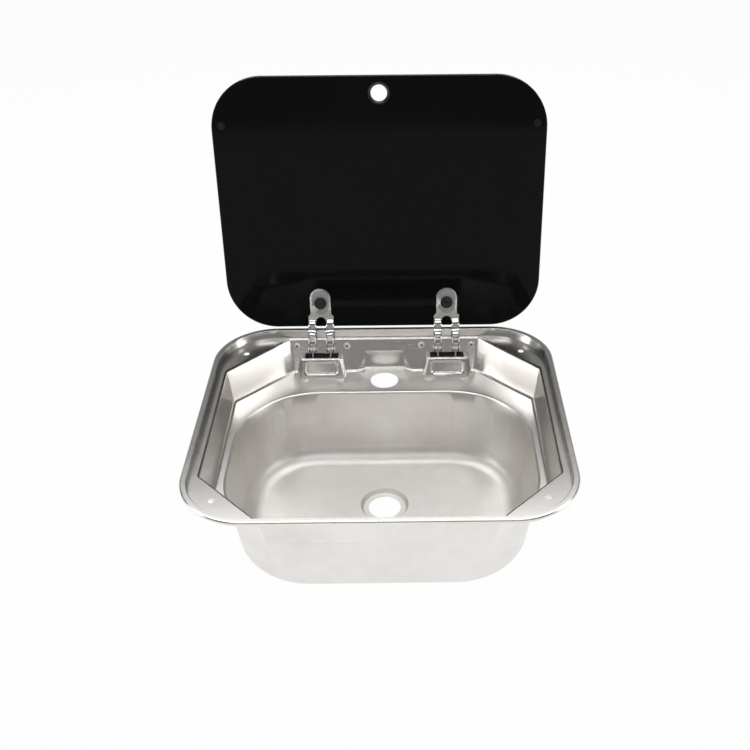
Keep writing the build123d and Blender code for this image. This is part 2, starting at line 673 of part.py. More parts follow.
def hinge_fork(x):
    """The folded fork: a bent web cut to its outline, with a wall down each side of both arms."""
    web = extrude(fork_web(), FORK_WIDTH / 2, both=True)
    plan = extrude(Pos(0, 0, PIVOT_Z - ARM_HEIGHT) * fork_outline(), GLASS_RISE + 2 * ARM_HEIGHT)
    part = web & plan
    flange = extrude(flange_face(), FORK_SHEET / 2, both=True)
    walls = [
        side * (ARM_CENTRE + reach * (ARM_WIDTH - FORK_SHEET) / 2) for side in (-1, 1) for reach in (-1, 1)
    ]
    for wall in walls:
        part = part + Pos(wall, 0, 0) * flange
    part = part - pivot_bore(PIN_DIAMETER / 2 + PIN_CLEARANCE, 2 * FORK_WIDTH)
    part = part - clamp_cylinder(CLAMP_SHANK / 2 + CLAMP_HOLE_CLEARANCE, TONGUE_UNDER, TONGUE_TOP)
    return Pos(x, 0, 0) * (part - tongue_pressing())


def tongue_pressing():
    """Shallow pressed field on the underside of the tongue, inside its border."""
    width = TONGUE_WIDTH - 2 * TONGUE_BORDER
    front = PIVOT_Y - TONGUE_END + TONGUE_BORDER
    rear = PIVOT_Y - SHOULDER
    outline = Pos(0, (front + rear) / 2, TONGUE_UNDER) * SlotOverall(rear - front, width, rotation=90)
    return extrude(outline, TONGUE_SEAT - TONGUE_UNDER)


def clamp_cylinder(radius, low, high):
    """Upright cylinder on the axis of the clamp screw, between two levels."""
    return Pos(0, CLAMP_Y, low) * Cylinder(radius, high - low, align=(Align.CENTER, Align.CENTER, Align.MIN))


def fork_gasket(x):
    """Rubber leaf between the tongue and the glass."""
    width = TONGUE_WIDTH - 2 * GASKET_INSET
    front = PIVOT_Y - TONGUE_END + GASKET_INSET
    rear = PIVOT_Y - SHOULDER
    outline = Pos(0, (front + rear) / 2, TONGUE_TOP) * Rectangle(width, rear - front)
    outline = chamfer(outline.vertices().group_by(Axis.Y)[0], GASKET_CORNER)
    leaf = extrude(outline, GASKET_SHEET)
    bore = clamp_cylinder(CLAMP_SHANK / 2 + CLAMP_HOLE_CLEARANCE, TONGUE_TOP, GLASS_UNDER)
    return Pos(x, 0, 0) * (leaf - bore)


def clamp_screw(x):
    """Screw with its head in the pressed field, through the tongue and the glass."""
    head = clamp_cylinder(CLAMP_HEAD / 2, TONGUE_SEAT - CLAMP_HEAD_HEIGHT, TONGUE_SEAT)
    tip = GLASS_TOP + WASHER_SHEET + CAP_HEIGHT - CAP_FLOOR
    return Pos(x, 0, 0) * (head + clamp_cylinder(CLAMP_SHANK / 2, TONGUE_SEAT, tip))


def cap_washer(x):
    """Rubber washer between the glass and the cap nut."""
    ring = clamp_cylinder(WASHER_DIAMETER / 2, GLASS_TOP, GLASS_TOP + WASHER_SHEET)
    bore = clamp_cylinder(CLAMP_SHANK / 2 + CLAMP_HOLE_CLEARANCE, GLASS_TOP, GLASS_TOP + WASHER_SHEET)
    return Pos(x, 0, 0) * (ring - bore)


def cap_nut(x):
    """Closed nut on the end of the clamp screw."""
    base = GLASS_TOP + WASHER_SHEET
    cap = clamp_cylinder(CAP_DIAMETER / 2, base, base + CAP_HEIGHT)
    bore = clamp_cylinder(CLAMP_SHANK / 2, base, base + CAP_HEIGHT - CAP_FLOOR)
    return Pos(x, 0, 0) * (cap - bore)


# Output ------------------------------------------------------------------------------------

def all_parts():
    """Every piece by its name, at its place with the lid open."""
    parts = {
        "sink_body": sink_body(), "rim_seal": rim_seal(), "bracket_rivets": rivets(), "hinge_pins": pins(),
    }
    for side, x in HINGE_SIDES.items():
        parts["slot_seal_" + side] = slot_seal(x)
        parts["hinge_bracket_" + side] = bracket(x)
    lid = {"lid_glass": lid_glass(), "lid_bumpers": lid_bumpers()}
    for side, x in HINGE_SIDES.items():
        lid["hinge_fork_" + side] = hinge_fork(x)
        lid["fork_gasket_" + side] = fork_gasket(x)
        lid["clamp_screw_" + side] = clamp_screw(x)
        lid["cap_washer_" + side] = cap_washer(x)
        lid["cap_nut_" + side] = cap_nut(x)
    parts.update({name: swing_open(shape) for name, shape in lid.items()})
    return parts


os.makedirs("parts", exist_ok=True)
for name, shape in all_parts().items():
    export_step(shape, "parts/" + name + ".step")
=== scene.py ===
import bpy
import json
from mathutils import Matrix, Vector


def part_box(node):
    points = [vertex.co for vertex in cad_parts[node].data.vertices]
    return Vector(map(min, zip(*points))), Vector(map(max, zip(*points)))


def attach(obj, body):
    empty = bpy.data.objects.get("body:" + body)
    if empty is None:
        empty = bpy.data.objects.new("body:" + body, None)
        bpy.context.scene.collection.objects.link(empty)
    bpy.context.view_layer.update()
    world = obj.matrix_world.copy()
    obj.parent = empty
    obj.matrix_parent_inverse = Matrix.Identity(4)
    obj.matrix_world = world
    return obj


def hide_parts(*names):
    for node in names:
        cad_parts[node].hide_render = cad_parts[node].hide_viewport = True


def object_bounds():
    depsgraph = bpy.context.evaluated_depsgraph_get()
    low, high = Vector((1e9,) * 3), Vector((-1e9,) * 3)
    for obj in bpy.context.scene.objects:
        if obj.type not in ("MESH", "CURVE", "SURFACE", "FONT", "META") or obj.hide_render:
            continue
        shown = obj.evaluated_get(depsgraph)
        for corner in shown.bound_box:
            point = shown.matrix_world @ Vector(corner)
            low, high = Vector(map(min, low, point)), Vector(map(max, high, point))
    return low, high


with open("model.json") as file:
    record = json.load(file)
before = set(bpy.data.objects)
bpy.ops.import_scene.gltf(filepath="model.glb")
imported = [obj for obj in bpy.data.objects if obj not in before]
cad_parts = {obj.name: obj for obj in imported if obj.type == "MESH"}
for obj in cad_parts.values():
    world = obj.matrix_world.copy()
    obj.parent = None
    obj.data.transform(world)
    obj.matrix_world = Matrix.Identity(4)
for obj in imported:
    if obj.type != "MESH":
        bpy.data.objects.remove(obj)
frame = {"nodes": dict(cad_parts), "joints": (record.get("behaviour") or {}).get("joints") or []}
CAD_BOX = [list(corner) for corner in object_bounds()]

import json
from collections import namedtuple
from math import cos, pi, radians, sin, tan

import bmesh
import bpy
from bpy.props import FloatProperty, FloatVectorProperty, IntProperty, PointerProperty
from bpy.types import Operator, Panel, PropertyGroup
from mathutils import Matrix, Vector

bl_info = {
    "name": "Camper sink with folding glass lid",
    "version": (1, 0, 0),
    "blender": (4, 5, 0),
    "location": "3D View > Sidebar > Camper sink",
    "description": "Dresses a camper sink and its glass lid, and lights them on a pale floor",
    "category": "Add Mesh",
}

# The lid hinge, and the turn from the shut lid to the open one that the frame is drawn with
HINGE = frame["joints"][0]
PIVOT = Vector(HINGE["pos_m"])
OPEN_TURN = radians(HINGE["range_deg"][1])
SWING = Matrix.Translation(PIVOT) @ Matrix.Rotation(-OPEN_TURN, 4, "X") @ Matrix.Translation(-PIVOT)

SIDES = ("left", "right")

# Distance at which points are welded, and the turn up to which two faces are one flat face
WELD = 2e-6
FLAT_TURN = radians(0.2)

# Turns above which an edge is kept sharp
SOFT_TURN = radians(50)
RIVET_TURN = radians(45)
TURNED_TURN = radians(35)
CRISP_TURN = radians(30)

# Steps of the small rounds of a turned piece
ARC_STEPS = 5

# A flat part of the pressing: how well its faces line up, the area of a sliver that belongs to any
# part, and the mean width above which the part is broad and is shaded flat
PART_LEVEL = cos(radians(0.3))
SLIVER = 1e-9
BROAD = 0.0055
Part = namedtuple("Part", "normal broad area")

# Where the sloping front of a plinth is looked for, from its slot seal: the distance to each side
# and up or down, how well its faces line up, their least area, and the step down to its pocket
FRONT_REACH = 0.03
FRONT_HEIGHT = 0.022
FRONT_LEVEL = 0.9999
FRONT_AREA = 5e-6
FRONT_STEP = 1e-4

# Width of the sheet around a window from which the swell is full, and the play of a cut and a rim
SWELL_WIDTH = 0.006
CUT_PLAY = 1e-7
RIM_PLAY = 1e-6

# Where the field pressed into a tongue is looked for: how well its face lines up with the tongue,
# its depth below the top of the tongue, and its least area
FIELD_LEVEL = 0.99
FIELD_DEPTH = (0.0004, 0.0009)
FIELD_AREA = 1e-4

# How well the two large faces of the glass line up with it; the rest is its ground edge
PANE_LEVEL = 0.95

# Heights between which the finish of the steel changes
FLOOR_TO_WALL = (-0.134, -0.112)
BOWL_TO_DECK = (-0.043, -0.036)
LEDGE_TO_RIM = (-0.004, 0.001)
ARM_TO_TONGUE = (0.022, 0.027)

# Name, place and size of each lamp, and the setting that holds its power
LAMPS = (
    ("lamp_top", (0.0, 0.50, 1.5), (1.9, 0.5), "top_power"),
    ("lamp_rear", (0.0, 1.0, 1.5), (1.9, 0.5), "rear_power"),
    ("lamp_front", (0.0, -0.95, 1.6), (1.8, 0.5), "front_power"),
    ("lamp_left", (-1.4, -0.25, 0.42), (0.6, 0.9), "side_power"),
    ("lamp_right", (1.4, -0.25, 0.42), (0.6, 0.9), "side_power"),
)

# The rays that see the floor plain white
WHITE_FOR = ("Camera", "Glossy", "Transmission")


def shut_box(node):
    """Lowest and highest corner of a lid node with the lid folded shut."""
    back = SWING.inverted()
    points = [back @ vertex.co for vertex in frame["nodes"][node].data.vertices]
    low = Vector([min(point[i] for point in points) for i in range(3)])
    high = Vector([max(point[i] for point in points) for i in range(3)])
    return low, high


def hinge_middle():
    """Distance from the middle of the sink to the middle of a hinge."""
    low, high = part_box("hinge_fork_right")
    return (low.x + high.x) / 2


# Sizes and colours ---------------------------------------------------------------------------


class SteelSettings(PropertyGroup):
    """Finish of the pressed sink and of its sheet metal fittings."""

    basin_colour: FloatVectorProperty(
        name="Basin colour", description="Reflected colour of the pressed sheet",
        default=(0.82, 0.805, 0.785), subtype="COLOR", min=0, max=1,
    )
    basin_stain: FloatVectorProperty(
        name="Basin cloud", description="Colour of the faint warm clouds in the pressed sheet",
        default=(0.73, 0.705, 0.67), subtype="COLOR", min=0, max=1,
    )
    basin_roughness: FloatProperty(
        name="Basin roughness", description="Mean roughness of the satin sheet", default=0.36,
        min=0, max=1, subtype="FACTOR",
    )
    fork_colour: FloatVectorProperty(
        name="Fork colour", description="Reflected colour of the hinge forks",
        default=(0.86, 0.86, 0.86), subtype="COLOR", min=0, max=1,
    )
    field_colour: FloatVectorProperty(
        name="Pressed field colour",
        description="Reflected colour of the field pressed into each tongue",
        default=(0.50, 0.50, 0.49), subtype="COLOR", min=0, max=1,
    )
    bright_colour: FloatVectorProperty(
        name="Bright steel colour", description="Reflected colour of rivets and hinge pins",
        default=(0.93, 0.93, 0.92), subtype="COLOR", min=0, max=1,
    )
    edge_round: FloatProperty(
        name="Sheet edge round", description="Width of the eased edges of the folded hinge parts",
        default=0.00045, unit="LENGTH", min=0,
    )


class PressingSettings(PropertyGroup):
    """Sizes of the windows that are pressed into the plinths."""

    front_lean: FloatProperty(
        name="Front lean", description="Lean of the front of a plinth",
        default=radians(19.1), subtype="ANGLE",
    )
    window_width: FloatProperty(
        name="Window width", description="Width of a window", default=0.0415, unit="LENGTH", min=0,
    )
    window_height: FloatProperty(
        name="Window height", description="Height of a window along the slope",
        default=0.0164, unit="LENGTH", min=0,
    )
    window_drop: FloatProperty(
        name="Window drop", description="Distance from the top of the front down to its window",
        default=0.002, unit="LENGTH", min=0,
    )
    window_round: FloatProperty(
        name="Window corners", description="Radius of the corners of a window",
        default=0.0045, unit="LENGTH", min=0,
    )
    window_depth: FloatProperty(
        name="Window depth", description="Depth of a window", default=0.002, unit="LENGTH", min=0,
    )
    window_wall: FloatProperty(
        name="Window wall", description="Width of the slope around the bottom of a window",
        default=0.0026, unit="LENGTH", min=0.0001,
    )
    window_swell: FloatProperty(
        name="Window swell", description="Height of the swell around a window",
        default=0.0012, unit="LENGTH", min=0,
    )
    grid: FloatProperty(
        name="Grid", description="Size of the faces that a pressed front is divided into",
        default=0.0013, unit="LENGTH", min=0.0005,
    )


class LidSettings(PropertyGroup):
    """Finish of the glass lid and of its rubber and black metal pieces."""

    glass_colour: FloatVectorProperty(
        name="Glass colour", description="Colour of the black glass",
        default=(0.0035, 0.0035, 0.004), subtype="COLOR", min=0, max=1,
    )
    glass_sheen: FloatProperty(
        name="Glass reflection", description="Strength of the reflections on the glass",
        default=0.07, min=0, max=1, subtype="FACTOR",
    )
    coat_colour: FloatVectorProperty(
        name="Black coat colour", description="Colour of the coated screws and cap nuts",
        default=(0.012, 0.012, 0.013), subtype="COLOR", min=0, max=1,
    )
    rubber_colour: FloatVectorProperty(
        name="Rubber colour", description="Colour of the seals, washers and bumpers",
        default=(0.009, 0.009, 0.0095), subtype="COLOR", min=0, max=1,
    )
    foam_colour: FloatVectorProperty(
        name="Foam colour", description="Colour of the foam strip under the rim",
        default=(0.035, 0.035, 0.037), subtype="COLOR", min=0, max=1,
    )


class FastenerSettings(PropertyGroup):
    """Sizes of the small turned pieces."""

    rivet_spacing: FloatProperty(
        name="Rivet spacing", description="Distance between the two rivets of a hinge",
        default=0.064, unit="LENGTH", min=0,
    )
    rivet_drop: FloatProperty(
        name="Rivet drop", description="Height of the ledge above the rivets",
        default=0.0089, unit="LENGTH", min=0,
    )
    rivet_head: FloatProperty(
        name="Rivet head", description="Diameter of a rivet head",
        default=0.009, unit="LENGTH", min=0,
    )
    rivet_bore: FloatProperty(
        name="Rivet bore", description="Diameter of the hole that the mandrel left",
        default=0.0027, unit="LENGTH", min=0,
    )
    rivet_grip: FloatProperty(
        name="Rivet grip", description="Thickness of the sheets that a rivet holds",
        default=0.0024, unit="LENGTH", min=0,
    )
    wall_lean: FloatProperty(
        name="Rear wall lean", description="Lean of the rear wall that the rivets stand on",
        default=radians(20.7), subtype="ANGLE",
    )
    wall_top: FloatProperty(
        name="Rear wall top",
        description="Distance from the middle of the sink to the top of the rear wall",
        default=0.17099, unit="LENGTH", min=0,
    )
    pin_diameter: FloatProperty(
        name="Pin diameter", description="Diameter of a hinge pin",
        default=0.004, unit="LENGTH", min=0,
    )
    pin_head: FloatProperty(
        name="Pin head", description="Thickness of the head of a hinge pin",
        default=0.001, unit="LENGTH", min=0,
    )
    arm_width: FloatProperty(
        name="Arm width", description="Width of one channel arm of a fork",
        default=0.0095, unit="LENGTH", min=0,
    )
    screw_socket: FloatProperty(
        name="Screw socket", description="Width across the flats of the socket in a clamp screw",
        default=0.005, unit="LENGTH", min=0,
    )
    screw_shank: FloatProperty(
        name="Screw shank", description="Diameter of a clamp screw",
        default=0.006, unit="LENGTH", min=0,
    )
    turned_steps: IntProperty(
        name="Turned steps", description="Number of faces around a turned piece",
        default=64, min=12, max=128,
    )


class StudioSettings(PropertyGroup):
    """Camera, floor and lamps."""

    camera_place: FloatVectorProperty(
        name="Camera place", description="Where the camera stands",
        default=(0.030234, -0.877251, 0.656314), subtype="XYZ", unit="LENGTH",
    )
    camera_right: FloatVectorProperty(
        name="Camera right", description="Direction of the picture's right side",
        default=(0.99993026, -0.0103502, -0.00568756), subtype="DIRECTION",
    )
    camera_up: FloatVectorProperty(
        name="Camera up", description="Direction of the picture's top",
        default=(0.01059905, 0.57406279, 0.81874268), subtype="DIRECTION",
    )
    camera_lens: FloatProperty(
        name="Lens", description="Focal length", default=46.195872, unit="CAMERA", min=1,
    )
    camera_shift: FloatVectorProperty(
        name="Shift", description="Shift of the picture, as shares of its width",
        default=(-0.051011, 0.017601), size=2,
    )
    floor_radius: FloatProperty(
        name="Floor radius", description="Radius of the pale floor",
        default=6.0, unit="LENGTH", min=1,
    )
    floor_glow: FloatProperty(
        name="Floor white", description="Share of plain white in the floor that is seen",
        default=0.97, min=0, max=1, subtype="FACTOR",
    )
    wall_grey: FloatProperty(
        name="Backdrop grey", description="Brightness of the room near the floor",
        default=0.34, min=0, max=1, subtype="FACTOR",
    )
    wall_height: FloatProperty(
        name="Backdrop height",
        description="Sine of the angle up to which the room fades to its upper grey",
        default=0.40, min=0.01, max=1,
    )
    room_grey: FloatProperty(
        name="Room grey", description="Brightness of the upper part of the room",
        default=0.17, min=0, max=1, subtype="FACTOR",
    )
    top_power: FloatProperty(
        name="Top lamp", description="Power of the large lamp overhead",
        default=15.5, unit="POWER", min=0,
    )
    rear_power: FloatProperty(
        name="Rear lamp", description="Power of the lamp above the rear",
        default=7.5, unit="POWER", min=0,
    )
    front_power: FloatProperty(
        name="Front lamp", description="Power of the lamp above the camera",
        default=6.5, unit="POWER", min=0,
    )
    side_power: FloatProperty(
        name="Side lamps", description="Power of each lamp at the sides",
        default=6.0, unit="POWER", min=0,
    )


# Finishes ------------------------------------------------------------------------------------


class Value:
    """A shader socket whose arithmetic adds Math nodes."""

    def __init__(self, finish, socket):
        self.finish = finish
        self.socket = socket

    def maths(self, operation, first, second):
        """A Math node between two sockets or numbers."""
        return self.finish.node("ShaderNodeMath", {0: first, 1: second}, operation=operation)

    def __add__(self, other):
        return self.maths("ADD", self, other)

    def __radd__(self, other):
        return self.maths("ADD", other, self)

    def __sub__(self, other):
        return self.maths("SUBTRACT", self, other)

    def __rsub__(self, other):
        return self.maths("SUBTRACT", other, self)

    def __mul__(self, other):
        return self.maths("MULTIPLY", self, other)

    def above(self, low, high):
        """0 below low, 1 above high, and smooth between them."""
        inputs = {"Value": self, "From Min": low, "From Max": high}
        return self.finish.node("ShaderNodeMapRange", inputs, interpolation_type="SMOOTHSTEP")


class Finish:
    """A material with one main shader, and the nodes that feed it."""

    def __init__(self, name, **constants):
        self.material = bpy.data.materials.new(name)
        self.material.use_nodes = True
        self.tree = self.material.node_tree
        self.shader = self.tree.nodes["Principled BSDF"]
        for socket, value in constants.items():
            self.shader.inputs[socket.replace("_", " ")].default_value = value
        self.place = self.node("ShaderNodeTexCoord", output="Object")

    def node(self, kind, inputs=None, output=0, **settings):
        """Adds one node: its settings first, then the values or links of its sockets."""
        node = self.tree.nodes.new(kind)
        for name, value in settings.items():
            setattr(node, name, value)
        for name, value in (inputs or {}).items():
            self.feed(node.inputs[name], value)
        return Value(self, node.outputs[output])

    def feed(self, socket, value):
        """Links a value to a socket, or sets the socket's own number."""
        if isinstance(value, Value):
            self.tree.links.new(value.socket, socket)
        else:
            socket.default_value = value

    def main(self, socket, value):
        """Feeds a socket of the main shader."""
        self.feed(self.shader.inputs[socket], value)

    def noise(self, scale, detail, stretch=(1, 1, 1)):
        """Noise from 0 to 1, with its cells drawn out along the axes of small stretch."""
        place = self.node("ShaderNodeMapping", {"Vector": self.place, "Scale": stretch})
        inputs = {"Vector": place, "Scale": scale, "Detail": detail, "Roughness": 0.55}
        return self.node("ShaderNodeTexNoise", inputs)

    def blend(self, share, first, second):
        """Colour between two colours."""
        inputs = {0: share, 6: (*first, 1.0), 7: (*second, 1.0)}
        return self.node("ShaderNodeMix", inputs, output=2, data_type="RGBA")

    def colour(self, share, first, second):
        """Main shader's colour, between two colours."""
        self.main("Base Color", self.blend(share, first, second))

    def axis(self, name):
        """One coordinate of the place."""
        return self.node("ShaderNodeSeparateXYZ", {0: self.place}, output=name)

    def relief(self, height, distance, strength=1.0):
        """Bumps of the main shader's surface."""
        inputs = {"Strength": strength, "Distance": distance, "Height": height}
        self.main("Normal", self.node("ShaderNodeBump", inputs))


def scaled(colour, share):
    """The colour with each of its parts scaled."""
    return [share * part for part in colour]


class Surroundings(Finish):
    """The shader of the room around, with the helpers of a finish."""

    def __init__(self, world):
        self.tree = world.node_tree
        self.shader = self.tree.nodes["Background"]
        self.place = self.node("ShaderNodeTexCoord", output="Generated")


def pressed_steel(steel):
    """Satin sheet: brushed on deck, ledge and rear wall, plain on the rim, softer in the bowl."""
    finish = Finish("pressed_stainless", Metallic=1.0)
    clouds = finish.noise(7.0, 4.0)
    fine_clouds = finish.noise(60.0, 4.0)
    brushed = finish.noise(30.0, 4.0, stretch=(1.5, 45, 45))
    orange_peel = finish.noise(420.0, 2.0)
    height = finish.axis("Z")
    upper = height.above(*BOWL_TO_DECK)
    rim = height.above(*LEDGE_TO_RIM)
    bottom = 1 - height.above(*FLOOR_TO_WALL)
    stained = (clouds * 0.75 + fine_clouds * 0.25).above(0.35, 0.70)
    finish.colour(stained, steel.basin_colour, steel.basin_stain)
    soft = steel.basin_roughness - 0.06 + clouds * 0.10 + fine_clouds * 0.05 + bottom * 0.11
    marks = (upper - rim * 0.9) * brushed
    finish.main("Roughness", soft - upper * 0.20 + rim * 0.035 + marks * 0.14)
    finish.relief(marks * 0.8 + orange_peel * 0.35, 0.00012, 0.5)
    return finish.material


def bracket_steel():
    """Plain rolled sheet of the hidden brackets."""
    finish = Finish("bracket_sheet", Metallic=1.0)
    clouds = finish.noise(40.0, 4.0)
    rolled = finish.noise(40.0, 3.0, stretch=(2, 30, 30))
    finish.colour(clouds, (0.58, 0.575, 0.56), (0.47, 0.46, 0.44))
    finish.main("Roughness", 0.30 + clouds * 0.12 + rolled * 0.08)
    finish.relief(rolled, 0.00006, 0.5)
    return finish.material


def fork_steel(steel):
    """Bright folded steel of the forks, with soft waves down the arms and faint polishing lines."""
    finish = Finish("fork_steel", Metallic=1.0)
    lines = finish.noise(60.0, 3.0, stretch=(16, 1, 1))
    smears = finish.noise(90.0, 4.0)
    waves = finish.node("ShaderNodeTexWave", {
        "Vector": finish.place, "Scale": 25.0, "Distortion": 0.6, "Detail": 0.0,
        "Detail Scale": 3.0,
    }, output="Fac", bands_direction="Z")
    arms = 1 - finish.axis("Z").above(*ARM_TO_TONGUE)
    finish.colour(smears, steel.fork_colour, scaled(steel.fork_colour, 0.88))
    finish.main("Roughness", 0.07 + smears * 0.05 + lines * 0.04)
    finish.relief(arms * waves + lines * 0.03, 0.0014)
    return finish.material


def field_steel(steel):
    """Fine blasted field that is pressed into each tongue."""
    finish = Finish("pressed_field", Metallic=1.0)
    grit = finish.noise(2600.0, 2.0)
    smears = finish.noise(110.0, 3.0)
    finish.colour(smears, steel.field_colour, scaled(steel.field_colour, 0.85))
    finish.main("Roughness", 0.34 + smears * 0.08 + grit * 0.08)
    finish.relief(grit, 0.00004, 0.5)
    return finish.material


def bright_steel(steel):
    """Bright steel of the rivets and pins."""
    finish = Finish("bright_steel", Metallic=1.0)
    smears = finish.noise(350.0, 3.0)
    finish.colour(smears, steel.bright_colour, scaled(steel.bright_colour, 0.9))
    finish.main("Roughness", 0.38 + smears * 0.12)
    finish.relief(smears, 0.00003, 0.4)
    return finish.material


def mandrel_painted_shade():
    """Broken end of the mandrel deep in a rivet's bore, coloured near black as painted shade of the
    bore.
    """
    finish = Finish("mandrel_stub", Metallic=0.6)
    grain = finish.noise(2500.0, 3.0)
    # Painted shade: the near-black colour stands for the shade down the bore, not for the stub's
    # steel
    finish.colour(grain, (0.03, 0.03, 0.03), (0.10, 0.095, 0.09))
    finish.main("Roughness", 0.55 + grain * 0.2)
    finish.relief(grain, 0.0001)
    return finish.material


def coated_metal(lid):
    """Half gloss black coat of the clamp screws and cap nuts."""
    finish = Finish("black_coat", Specular_IOR_Level=0.4)
    orange_peel = finish.noise(900.0, 2.0)
    dust = finish.noise(140.0, 4.0)
    dusty = dust.above(0.45, 0.8)
    finish.colour(dusty, lid.coat_colour, (0.03, 0.03, 0.031))
    finish.main("Roughness", 0.30 + dust * 0.18)
    finish.relief(orange_peel, 0.00005, 0.5)
    return finish.material


def seal_rubber(lid):
    """Matt moulded rubber."""
    finish = Finish("seal_rubber", Specular_IOR_Level=0.2)
    skin = finish.noise(1800.0, 3.0)
    bloom = finish.noise(120.0, 4.0)
    bloomed = bloom.above(0.4, 0.85)
    finish.colour(bloomed, lid.rubber_colour, (0.026, 0.026, 0.027))
    finish.main("Roughness", 0.66 + bloom * 0.2)
    finish.relief(skin, 0.00008, 0.6)
    return finish.material


def strip_foam(lid):
    """Closed-cell foam of the strip under the rim."""
    finish = Finish("strip_foam", Specular_IOR_Level=0.2)
    inputs = {"Vector": finish.place, "Scale": 1100.0}
    cells = finish.node("ShaderNodeTexVoronoi", inputs, output="Distance")
    finish.colour(cells, scaled(lid.foam_colour, 0.5), lid.foam_colour)
    finish.main("Roughness", 0.86 + cells * 0.1)
    finish.relief(cells, 0.0002)
    return finish.material


def black_glass(lid):
    """Polished face of the black glass, with a few faint smears."""
    finish = Finish("black_glass", Specular_IOR_Level=lid.glass_sheen)
    smears = finish.noise(9.0, 5.0, stretch=(1, 1, 0.5))
    specks = finish.noise(700.0, 2.0)
    finish.colour(smears, lid.glass_colour, scaled(lid.glass_colour, 1.5))
    finish.main("Roughness", 0.05 + smears.above(0.45, 0.75) * 0.06 + specks * 0.01)
    finish.relief(smears, 0.00002, 0.3)
    return finish.material


def ground_glass():
    """Ground and polished edge of the glass, a little greyer than its faces."""
    finish = Finish("ground_glass_edge", Specular_IOR_Level=0.5)
    grind = finish.noise(500.0, 3.0)
    finish.colour(grind, (0.007, 0.009, 0.009), (0.016, 0.020, 0.019))
    finish.main("Roughness", 0.16 + grind * 0.12)
    finish.relief(grind, 0.00004, 0.5)
    return finish.material


# Making of pieces ----------------------------------------------------------------------------


def merged(node):
    """The welded shape of a CAD node, with its flat faces whole."""
    mesh = frame["nodes"][node].data.copy()
    mesh.attributes.remove(mesh.attributes["custom_normal"])
    bm = bmesh.new()
    bm.from_mesh(mesh)
    bpy.data.meshes.remove(mesh)
    bmesh.ops.remove_doubles(bm, verts=bm.verts, dist=WELD)
    bmesh.ops.dissolve_limit(
        bm, angle_limit=FLAT_TURN, use_dissolve_boundaries=False, verts=bm.verts, edges=bm.edges
    )
    return bm


def once(items):
    """The items without repeats, in the order in which they first come."""
    return list(dict.fromkeys(items))


def shade(bm, sharp_turn):
    """Smooth faces, with an edge kept sharp where the surface turns by more than sharp_turn."""
    for face in bm.faces:
        face.smooth = True
    for edge in bm.edges:
        edge.smooth = len(edge.link_faces) == 2 and edge.calc_face_angle(pi) < sharp_turn


def flat_parts(bm):
    """The flat part that each face belongs to, found from the largest faces down."""
    found = {}
    for first in sorted(bm.faces, key=lambda face: -face.calc_area()):
        if first in found:
            continue
        normal = first.normal.copy()
        faces = [first]
        taken = {first}
        for face in faces:
            for edge in face.edges:
                for other in edge.link_faces:
                    level = other.normal.dot(normal) > PART_LEVEL or other.calc_area() < SLIVER
                    if level and other not in taken and other not in found:
                        faces.append(other)
                        taken.add(other)
        area = sum(face.calc_area() for face in faces)
        points = [vertex.co for face in faces for vertex in face.verts]
        reach = max(max(line) - min(line) for line in zip(*points))
        part = Part(normal, area > BROAD * reach, area)
        for face in faces:
            found[face] = part
    return found


def settle_normals(bm):
    """Corner normals that keep broad parts flat and shade the narrow ones between as rounds."""
    parts = flat_parts(bm)
    normals = {}
    for vertex in bm.verts:
        for fan in smooth_fans(vertex):
            broad = [parts[face] for face in fan if parts[face].broad]
            if broad:
                pulls = [part.normal * part.area for part in broad]
            else:
                pulls = [
                    face.normal * corner_angle(face, vertex) * parts[face].area for face in fan
                ]
            mean = sum(pulls, Vector()).normalized()
            for face in fan:
                normals[vertex, face] = parts[face].normal if parts[face].broad else mean
    return [normals[loop.vert, face] for face in bm.faces for loop in face.loops]


def smooth_fans(vertex):
    """The groups of faces around a vertex that no sharp edge parts."""
    left = list(vertex.link_faces)
    while left:
        fan = [left.pop()]
        for face in fan:
            for edge in face.edges:
                if edge.smooth and vertex in edge.verts:
                    joined = [other for other in edge.link_faces if other in left]
                    fan.extend(joined)
                    left = [other for other in left if other not in joined]
        yield fan


def corner_angle(face, vertex):
    """Angle of a face at one of its corners."""
    for loop in face.loops:
        if loop.vert == vertex:
            return loop.calc_angle()
    raise RuntimeError("a face without its corner")


def spread(low, high, step):
    """Places between low and high, about a step apart."""
    count = round((high - low) / step)
    return [low + (high - low) * i / count for i in range(1, count)]


def distance(point, start, end):
    """Distance from a point to the line between two others."""
    run = end - start
    share = min(max((point - start).dot(run) / run.length_squared, 0), 1)
    return (point - start - run * share).length


def turned(profile, steps):
    """A closed piece turned about Z from (radius, height) points that start and end on the axis."""
    bm = bmesh.new()
    line = [bm.verts.new((radius, 0, height)) for radius, height in profile]
    edges = [bm.edges.new(pair) for pair in zip(line, line[1:])]
    bmesh.ops.spin(
        bm, geom=line + edges, cent=(0, 0, 0), axis=(0, 0, 1), angle=2 * pi, steps=steps,
        use_merge=True,
    )
    bmesh.ops.remove_doubles(bm, verts=bm.verts, dist=WELD)
    bmesh.ops.recalc_face_normals(bm, faces=bm.faces)
    return bm


def arc(centre, radius, start, end):
    """(radius, height) points on an arc, from one angle to another in degrees."""
    turns = [start + (end - start) * i / ARC_STEPS for i in range(ARC_STEPS + 1)]
    angles = [radians(turn) for turn in turns]
    return [(centre[0] + radius * cos(angle), centre[1] + radius * sin(angle)) for angle in angles]


def copies(shape, places):
    """One mesh that holds the shape at each of several places."""
    bm = bmesh.new()
    for place in places:
        mesh = bpy.data.meshes.new("copy")
        shape.to_mesh(mesh)
        mesh.transform(place)
        bm.from_mesh(mesh)
        bpy.data.meshes.remove(mesh)
    return bm


def add_piece(name, bm, body, finishes, nodes):
    """Turns a bmesh into a piece that moves with a body and stands for the given nodes."""
    mesh = bpy.data.meshes.new(name)
    bm.to_mesh(mesh)
    bm.free()
    for finish in finishes:
        mesh.materials.append(finish)
    piece = bpy.data.objects.new(name, mesh)
    bpy.context.scene.collection.objects.link(piece)
    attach(piece, body)
    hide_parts(*nodes)
    return piece


